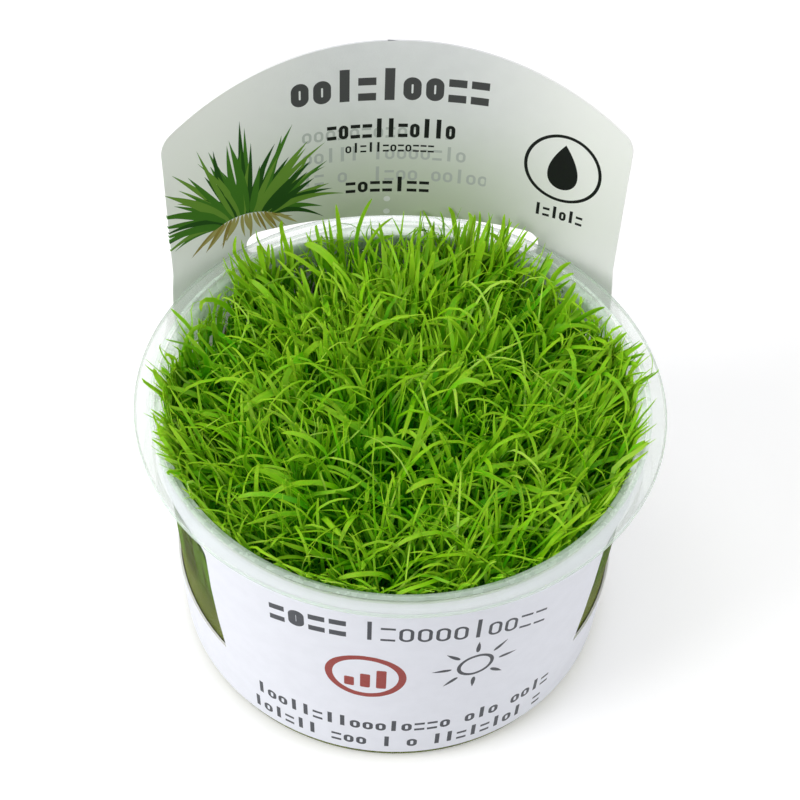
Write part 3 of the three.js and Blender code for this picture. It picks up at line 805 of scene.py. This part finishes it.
# A rounded rectangle: its line, or all of it where the line is as wide as the shape.
printed_frame, maths, given, x, y = print_group(
    "printed_frame", ["Centre X", "Centre Y", "Half Width", "Half Height", "Corner", "Line"]
)
x = maths("ABSOLUTE", maths("SUBTRACT", x, given["Centre X"]))
y = maths("ABSOLUTE", maths("SUBTRACT", y, given["Centre Y"]))
x = maths("ADD", maths("SUBTRACT", x, given["Half Width"]), given["Corner"])
y = maths("ADD", maths("SUBTRACT", y, given["Half Height"]), given["Corner"])
beyond = hypotenuse(printed_frame, maths("MAXIMUM", x, 0), maths("MAXIMUM", y, 0))
within = maths("MINIMUM", maths("MAXIMUM", x, y), 0)
edge = maths("SUBTRACT", maths("ADD", beyond, within), given["Corner"])
give_ink(printed_frame, between(maths, edge, maths("MULTIPLY", given["Line"], -1), 0))

# A leaf or a drop: round at the foot, pointed at the tip, bent to one side.
printed_leaf, maths, given, x, y = print_group(
    "printed_leaf", ["Foot X", "Foot Y", "Turn", "Length", "Width", "Bend"]
)
x = maths("SUBTRACT", x, given["Foot X"])
y = maths("SUBTRACT", y, given["Foot Y"])
cosine = maths("COSINE", given["Turn"])
sine = maths("SINE", given["Turn"])
rise = maths("ADD", maths("MULTIPLY", x, sine), maths("MULTIPLY", y, cosine))
off = maths("SUBTRACT", maths("MULTIPLY", x, cosine), maths("MULTIPLY", y, sine))
share = maths("DIVIDE", rise, given["Length"])
off = maths("SUBTRACT", off, maths("MULTIPLY", given["Bend"], maths("POWER", share, 2)))
swell = maths("MULTIPLY", maths("POWER", share, 0.5), maths("SUBTRACT", 1, share))
half = maths("MULTIPLY", swell, maths("MULTIPLY", given["Width"], 1.3))
ink = maths("LESS_THAN", maths("ABSOLUTE", off), half)
give_ink(printed_leaf, maths("MULTIPLY", ink, between(maths, share, 0, 1)))


def ink_of(tree, group, place, **values):
    node = tree.nodes.new("ShaderNodeGroup")
    node.node_tree = group
    tree.links.new(place, node.inputs["Place"])
    for name, value in values.items():
        node.inputs[name.replace("_", " ")].default_value = value
    return node.outputs["Ink"]


def printed_on(tree, under, place, colour, group, **values):
    return mixed(tree, ink_of(tree, group, place, **values), under, colour)


def printed_ring(tree, under, place, colour, centre, radius, line):
    return printed_on(
        tree, under, place, colour, printed_frame,
        Centre_X=centre[0], Centre_Y=centre[1], Half_Width=radius, Half_Height=radius, Corner=radius,
        Line=line,
    )


def back_rows(tree, under, place, colour):
    # The rows on the back of the header, which also show faintly through to its front.
    for row in range(3):
        under = printed_on(
            tree, under, place, colour, printed_row,
            Start=-15, Baseline=57.5 + 4.2 * row, Length=30 - 3 * row, Height=2.8, Pitch=1.9,
            Stroke=0.42, Seed=31 + row, Gaps=0.14,
        )
    return under


# The coated card itself, alike on both sides: faint clouds in its white, an uneven gloss, fine relief.
card_paper = bpy.data.node_groups.new("card_paper", "ShaderNodeTree")
for name, way, kind in (
    ("Place", "INPUT", "NodeSocketVector"), ("White", "INPUT", "NodeSocketColor"),
    ("Colour", "OUTPUT", "NodeSocketColor"), ("Roughness", "OUTPUT", "NodeSocketFloat"),
    ("Relief", "OUTPUT", "NodeSocketFloat"),
):
    card_paper.interface.new_socket(name, in_out=way, socket_type=kind)
given = card_paper.nodes.new("NodeGroupInput").outputs
result = card_paper.nodes.new("NodeGroupOutput").inputs
clouds = stepped(card_paper, noise(card_paper, given["Place"], 0.35, 4), 0.3, 0.7, 0, 0.03)
card_paper.links.new(mixed(card_paper, clouds, given["White"], (0, 0, 0)), result["Colour"])
gloss = stepped(card_paper, noise(card_paper, given["Place"], 1.5, 3), 0.3, 0.7, 0.36, 0.46)
card_paper.links.new(gloss, result["Roughness"])
card_paper.links.new(noise(card_paper, given["Place"], 2.5, 2), result["Relief"])


def card_material(name, white):
    material, tree, shader = new_material(name)
    print_node = tree.nodes.new("ShaderNodeUVMap")
    print_node.uv_map = "print"
    place = print_node.outputs[0]
    paper = tree.nodes.new("ShaderNodeGroup")
    paper.node_tree = card_paper
    tree.links.new(place, paper.inputs["Place"])
    paper.inputs["White"].default_value = (*white, 1)
    tree.links.new(paper.outputs["Roughness"], shader.inputs["Roughness"])
    bumped(tree, shader, paper.outputs["Relief"], 0.00002)
    shader.inputs["Specular IOR Level"].default_value = 0.2
    shader.inputs["Coat Weight"].default_value = 0.04
    shader.inputs["Coat Roughness"].default_value = 0.25
    return material, tree, shader, place, paper.outputs["Colour"]


# The outside: the back of the header, and the front panel, whose two upper rows run along an arch.
card_outside, tree, shader, place, paint = card_material("card_outside", FRONT_WHITE)
paint = back_rows(tree, paint, place, INK_GREY)
x, y, depth = axes_of(tree, place)
drop_by = calc(tree, "MULTIPLY", calc(tree, "POWER", calc(tree, "ADD", x, 4), 2), 0.0075)
arched = tree.nodes.new("ShaderNodeCombineXYZ")
tree.links.new(x, arched.inputs["X"])
tree.links.new(calc(tree, "ADD", y, drop_by), arched.inputs["Y"])
arched_place = arched.outputs[0]
paint = printed_on(
    tree, paint, arched_place, INK_SLATE, printed_row,
    Start=-21, Baseline=-63, Length=12.3, Height=5.8, Pitch=3.08, Stroke=1.2, Seed=4, Gaps=0,
)
paint = printed_on(
    tree, paint, arched_place, INK_SLATE, printed_row,
    Start=-7, Baseline=-63, Length=31, Height=5, Pitch=2.58, Stroke=0.5, Seed=9, Gaps=0.1,
)
for row, baseline in enumerate((-90.6, -95.8)):
    paint = printed_on(
        tree, paint, place, INK_SLATE, printed_row,
        Start=-25 - row, Baseline=baseline, Length=51 + 2 * row, Height=3.3, Pitch=2.04, Stroke=0.58,
        Seed=15 + row, Gaps=0.12,
    )
paint = printed_ring(tree, paint, place, INK_RED, RING_SIGN, 6.1, 1.15)
for bar in range(3):
    paint = printed_on(
        tree, paint, place, INK_RED, printed_frame,
        Centre_X=RING_SIGN[0] - 2.4 + 2.4 * bar, Centre_Y=RING_SIGN[1] - 1.9 + 0.7 * bar,
        Half_Width=0.75, Half_Height=1.3 + 0.7 * bar, Corner=0.3, Line=FULL_LINE,
    )
paint = printed_ring(tree, paint, place, INK_SLATE, SUN_SIGN, 2.9, 0.6)
for ray in range(8):
    angle = ray * math.pi / 4
    paint = printed_on(
        tree, paint, place, INK_SLATE, printed_leaf,
        Foot_X=SUN_SIGN[0] + 3.7 * math.sin(angle), Foot_Y=SUN_SIGN[1] + 3.7 * math.cos(angle),
        Turn=angle, Length=3, Width=0.7, Bend=0,
    )
tree.links.new(paint, shader.inputs["Base Color"])

# The inside: the front of the header, whiter at the sides as painted light, and tinted low down in the
# middle by painted green light from the leaves.
card_inside, tree, shader, place, paint = card_material("card_inside", HEADER_WHITE)
x, y, depth = axes_of(tree, place)
low_down = stepped(tree, y, 50, 74, 1, 0)
near_middle = stepped(tree, calc(tree, "ABSOLUTE", x), 6, 34, 1, 0)
paint = mixed(tree, near_middle, SIDE_PAINTED_LIGHT, paint)
paint = mixed(tree, calc(tree, "MULTIPLY", low_down, near_middle), paint, LEAF_GLOW_PAINTED_GREEN)
paint = back_rows(tree, paint, place, INK_FAINT)
paint = printed_on(
    tree, paint, place, INK_GREY, printed_row,
    Start=-16.8, Baseline=73, Length=31.5, Height=5.8, Pitch=3.5, Stroke=1.25, Seed=2, Gaps=0,
)
paint = printed_on(
    tree, paint, place, INK_BLACK, printed_row,
    Start=-11, Baseline=66, Length=20.7, Height=3.6, Pitch=1.88, Stroke=0.6, Seed=6, Gaps=0,
)
paint = printed_on(
    tree, paint, place, INK_BLACK, printed_row,
    Start=-8, Baseline=63.2, Length=14.4, Height=1.9, Pitch=1.2, Stroke=0.3, Seed=8, Gaps=0,
)
paint = printed_on(
    tree, paint, place, INK_BLACK, printed_row,
    Start=-8, Baseline=55.2, Length=14, Height=3, Pitch=2, Stroke=0.55, Seed=11, Gaps=0,
)
# A fan-leaved plant: a few ochre roots that hang down, and a tuft of leaves of three greens.
for blade in range(ROOT_BLADES + TUFT_BLADES):
    is_root = blade < ROOT_BLADES
    share = blade / (ROOT_BLADES - 1) if is_root else ((blade - ROOT_BLADES) * FAN_STEP) % 1
    side = 2 * share - 1
    turn = math.pi - 0.9 * side if is_root else 1.25 * side + rng.normal(0, 0.08)
    inks = ROOT_INKS if is_root else LEAF_INKS
    paint = printed_on(
        tree, paint, place, inks[int(rng.integers(len(inks)))], printed_leaf,
        Foot_X=FAN_FOOT[0] + 5 * side, Foot_Y=FAN_FOOT[1] - 1.2 * side * side, Turn=turn,
        Length=rng.uniform(3.5, 6.5) if is_root else (18.5 - 8.5 * side * side) * rng.uniform(0.5, 1),
        Width=rng.uniform(0.5, 0.8) if is_root else rng.uniform(0.8, 1.4),
        Bend=rng.normal(0, 0.8) if is_root else 3 * side + rng.normal(0, 1.8),
    )
# A drop in a ring with a short row below it, and two pale dots in the middle.
paint = printed_ring(tree, paint, place, INK_BLACK, DROP_SIGN, 6.4, 0.55)
paint = printed_ring(tree, paint, place, DOT_WHITE, (-1, 53.7), 0.55, FULL_LINE)
paint = printed_ring(tree, paint, place, DOT_WHITE, (-1, 51.1), 0.55, FULL_LINE)
paint = printed_on(
    tree, paint, place, INK_BLACK, printed_leaf,
    Foot_X=DROP_SIGN[0], Foot_Y=DROP_SIGN[1] - 4, Turn=0, Length=8.6, Width=5, Bend=0,
)
paint = printed_on(
    tree, paint, place, INK_BLACK, printed_row,
    Start=DROP_SIGN[0] - 4, Baseline=DROP_SIGN[1] - 10, Length=8.4, Height=2.4, Pitch=1.4, Stroke=0.42,
    Seed=21, Gaps=0,
)
tree.links.new(paint, shader.inputs["Base Color"])


def arc(centre_x, centre_y, radius, start, end, steps=10):
    # Points along an arc of a flat outline. The angles are in degrees.
    angles = np.radians(np.linspace(start, end, steps + 1))
    return [(centre_x + radius * math.cos(a), centre_y + radius * math.sin(a)) for a in angles]


arch_rise = HEADER_TOP - HEADER_SHOULDER - HEADER_CORNER
arch_corner = HEADER_HALF - HEADER_CORNER
arch_drop = (arch_corner ** 2 - arch_rise ** 2) / (2 * arch_rise)
arch_radius = arch_drop + arch_rise + HEADER_CORNER
arch_centre = HEADER_SHOULDER - arch_drop
arch_meet = math.degrees(math.atan2(arch_drop, arch_corner))
half_outline = [
    (PAST_END, SLEEVE_BOTTOM), (PAST_END, FRONT_TOP),
    *arc(67.9, FRONT_TOP - 0.3, 0.3, 90, 180, 2),
    *arc(70.6, WINDOW_TOP + 3, 3, 180, 270),
    *arc(79, WINDOW_TOP - 3, 3, 90, 0),
    (81.9, 30), (82.4, 22), (83.5, STRAP_TOP),
    *arc(44, STRAP_TOP + 1.2, 1.2, 270, 172, 5),
    (HEADER_HALF, FLANGE_UNDERSIDE),
    *arc(arch_corner, HEADER_SHOULDER, HEADER_CORNER, 0, arch_meet),
    *arc(0, arch_centre, arch_radius, arch_meet, 90, 24),
]
mirrored = [(-x, y) for x, y in reversed(half_outline[:-1])]
slot_outline = [
    *arc(SLOT_HALF_WIDTH, SLOT_HEIGHT, SLOT_ROUNDING, -90, 90, 12),
    *arc(-SLOT_HALF_WIDTH, SLOT_HEIGHT, SLOT_ROUNDING, 90, 270, 12),
]


def thicken(rise):
    # The flat piece that is picked becomes a plate, whose second face lies higher by the rise.
    bpy.ops.object.mode_set(mode="EDIT")
    bpy.ops.mesh.select_all(action="SELECT")
    bpy.ops.mesh.extrude_region_move(TRANSFORM_OT_translate={"value": (0, 0, rise * MM)})
    turn_faces_outward()


def flat_cutter(name, outline):
    # A flat outline, pushed through the thickness of the sheet.
    mesh = bpy.data.meshes.new(name)
    mesh.from_pydata([(x * MM, y * MM, -CUTTER_REACH * MM) for x, y in outline], [], [range(len(outline))])
    cutter = bpy.data.objects.new(name, mesh)
    bpy.context.scene.collection.objects.link(cutter)
    pick(cutter)
    thicken(2 * CUTTER_REACH)
    return cutter


def cut_with(piece, cutter, operation):
    pick(piece)
    boolean = piece.modifiers.new("die_cut", "BOOLEAN")
    boolean.object = cutter
    boolean.operation = operation
    boolean.solver = "EXACT"
    bpy.ops.object.modifier_apply(modifier=boolean.name)
    bpy.data.objects.remove(cutter)


bpy.ops.object.select_all(action="DESELECT")
bpy.ops.mesh.primitive_grid_add(x_subdivisions=CARD_COLUMNS, y_subdivisions=CARD_ROWS, size=1)
sleeve = bpy.context.object
sleeve.name = "printed_sleeve"
sheet_height = HEADER_TOP + SHEET_MARGIN
sleeve.scale = (2 * HALF_WAY_ROUND * MM, sheet_height * MM, 1)
sleeve.location = (0, sheet_height / 2 * MM, 0)
bpy.ops.object.transform_apply(location=True, scale=True)
thicken(-CARD_THICKNESS)
cut_with(sleeve, flat_cutter("blank_outline", half_outline + mirrored), "INTERSECT")
cut_with(sleeve, flat_cutter("flange_slot", slot_outline), "DIFFERENCE")

# The cut sheet's flat layout is kept as its print map, in millimetres. The front panel's halves, which
# are the two ends of the sheet, are laid out 100 mm below the header.
card = sleeve.data
card.materials.clear()
card.materials.append(card_outside)
card.materials.append(card_inside)
print_map = card.uv_layers.new(name="print")
for polygon in card.polygons:
    middle = polygon.center / MM
    is_front = abs(middle.x) > HALF_WAY_ROUND / 2
    polygon.material_index = 0 if polygon.normal.z < -0.5 else 1
    for loop in polygon.loop_indices:
        point = card.vertices[card.loops[loop].vertex_index].co / MM
        if is_front:
            along_front = math.copysign(HALF_WAY_ROUND, middle.x) - point.x
            print_map.data[loop].uv = (along_front, point.y - FRONT_LAYOUT_DROP)
        else:
            print_map.data[loop].uv = (point.x, point.y)
bpy.ops.object.mode_set(mode="EDIT")
bpy.ops.mesh.select_all(action="DESELECT")
bpy.ops.object.mode_set(mode="OBJECT")
for polygon in card.polygons:
    at_end = abs(polygon.center.x) > (HALF_WAY_ROUND - END_WITHIN) * MM
    polygon.select = at_end and abs(polygon.normal.x) > 0.9
bpy.ops.object.mode_set(mode="EDIT")
bpy.ops.mesh.delete(type="FACE")
bpy.ops.object.mode_set(mode="OBJECT")


def smooth_share(values, low, high):
    share = np.clip((values - low) / (high - low), 0, 1)
    return share * share * (3 - 2 * share)


def bent_card(flat):
    # The place in the wrapped sleeve of each point of the flat sheet, both in millimetres.
    round_by, height, outside = flat[:, 0], flat[:, 1], -flat[:, 2]
    angle = round_by / WALL_TOP_RADIUS
    gap = SLEEVE_GAP_LOW + (SLEEVE_GAP_HIGH - SLEEVE_GAP_LOW) * smooth_share(height, STRAP_TOP, FRONT_TOP)
    wrap = wall_radius(np.minimum(height, FLANGE_UNDERSIDE)) + gap + outside
    rise = np.maximum(height - FLANGE_UNDERSIDE, 0)
    crest = WALL_TOP_RADIUS + SLEEVE_GAP_HIGH + rise * math.tan(HEADER_LEAN)
    turn = round_by / HEADER_CURVE
    header_x = (HEADER_CURVE + outside) * np.sin(turn)
    header_y = crest - HEADER_CURVE + (HEADER_CURVE + outside) * np.cos(turn)
    past_flare = smooth_share(abs(round_by), FLARE_INNER, FLARE_OUTER)
    share = smooth_share(height, STRAP_TOP, FLANGE_UNDERSIDE) * (1 - past_flare)
    return np.stack([
        wrap * np.sin(angle) * (1 - share) + header_x * share,
        wrap * np.cos(angle) * (1 - share) + header_y * share,
        height,
    ], axis=-1)


flat_points = np.empty(len(card.vertices) * 3)
card.vertices.foreach_get("co", flat_points)
card.vertices.foreach_set("co", (bent_card(flat_points.reshape(-1, 3) / MM) * MM).ravel())
card.update()
bpy.ops.object.mode_set(mode="EDIT")
bpy.ops.mesh.select_all(action="SELECT")
bpy.ops.mesh.remove_doubles(threshold=WELD_WITHIN * MM)
bpy.ops.object.mode_set(mode="OBJECT")
bpy.ops.object.shade_smooth_by_angle(angle=SHARPEST_BEND)
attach(sleeve, "root")
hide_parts("label_sleeve")


# Studio: a plain pale floor that glows a little, broad soft lights above and at both sides, and even
# pale surroundings, as in a light tent.
FLOOR_SIZE = 3
FLOOR_DROP = 0.0002
FLOOR_GREY = (0.9, 0.9, 0.905)
FLOOR_WHITE = (0.92, 0.92, 0.925)
FLOOR_GLOW = 0.25
SURROUNDING_LIGHT = 0.33

floor_white, tree, shader = new_material("floor_white")
clouds = stepped(tree, noise(tree, object_place(tree), 6, 2), 0.3, 0.7)
tree.links.new(mixed(tree, clouds, FLOOR_GREY, FLOOR_WHITE), shader.inputs["Base Color"])
shader.inputs["Roughness"].default_value = 0.7
shader.inputs["Emission Color"].default_value = (1, 1, 1, 1)
shader.inputs["Emission Strength"].default_value = FLOOR_GLOW
bpy.ops.object.select_all(action="DESELECT")
bpy.ops.mesh.primitive_grid_add(
    x_subdivisions=8, y_subdivisions=8, size=FLOOR_SIZE, location=(0, 0, -FLOOR_DROP)
)
floor = bpy.context.object
floor.name = "studio_floor"
floor.data.materials.append(floor_white)


def soft_light(name, place, aim, size, power):
    light = bpy.data.objects.new(name, bpy.data.lights.new(name, "AREA"))
    bpy.context.scene.collection.objects.link(light)
    light.data.shape = "DISK"
    light.data.size = size
    light.data.energy = power
    light.location = place
    light.rotation_euler = (Vector(place) - Vector(aim)).to_track_quat("Z", "Y").to_euler()


soft_light("softbox_above", place=(-0.1, 0.05, 0.9), aim=(0, 0, 0.04), size=0.8, power=3.2)
soft_light("softbox_left", place=(-0.74, -0.24, 0.5), aim=(0, 0, 0.05), size=0.5, power=4.6)
soft_light("softbox_right", place=(0.74, -0.18, 0.5), aim=(0, 0, 0.05), size=0.5, power=1.9)
world = bpy.data.worlds.new("studio")
world.use_nodes = True
world.node_tree.nodes["Background"].inputs["Color"].default_value = (1, 1, 1, 1)
world.node_tree.nodes["Background"].inputs["Strength"].default_value = SURROUNDING_LIGHT
bpy.context.scene.world = world
bpy.context.scene.view_settings.view_transform = "Standard"
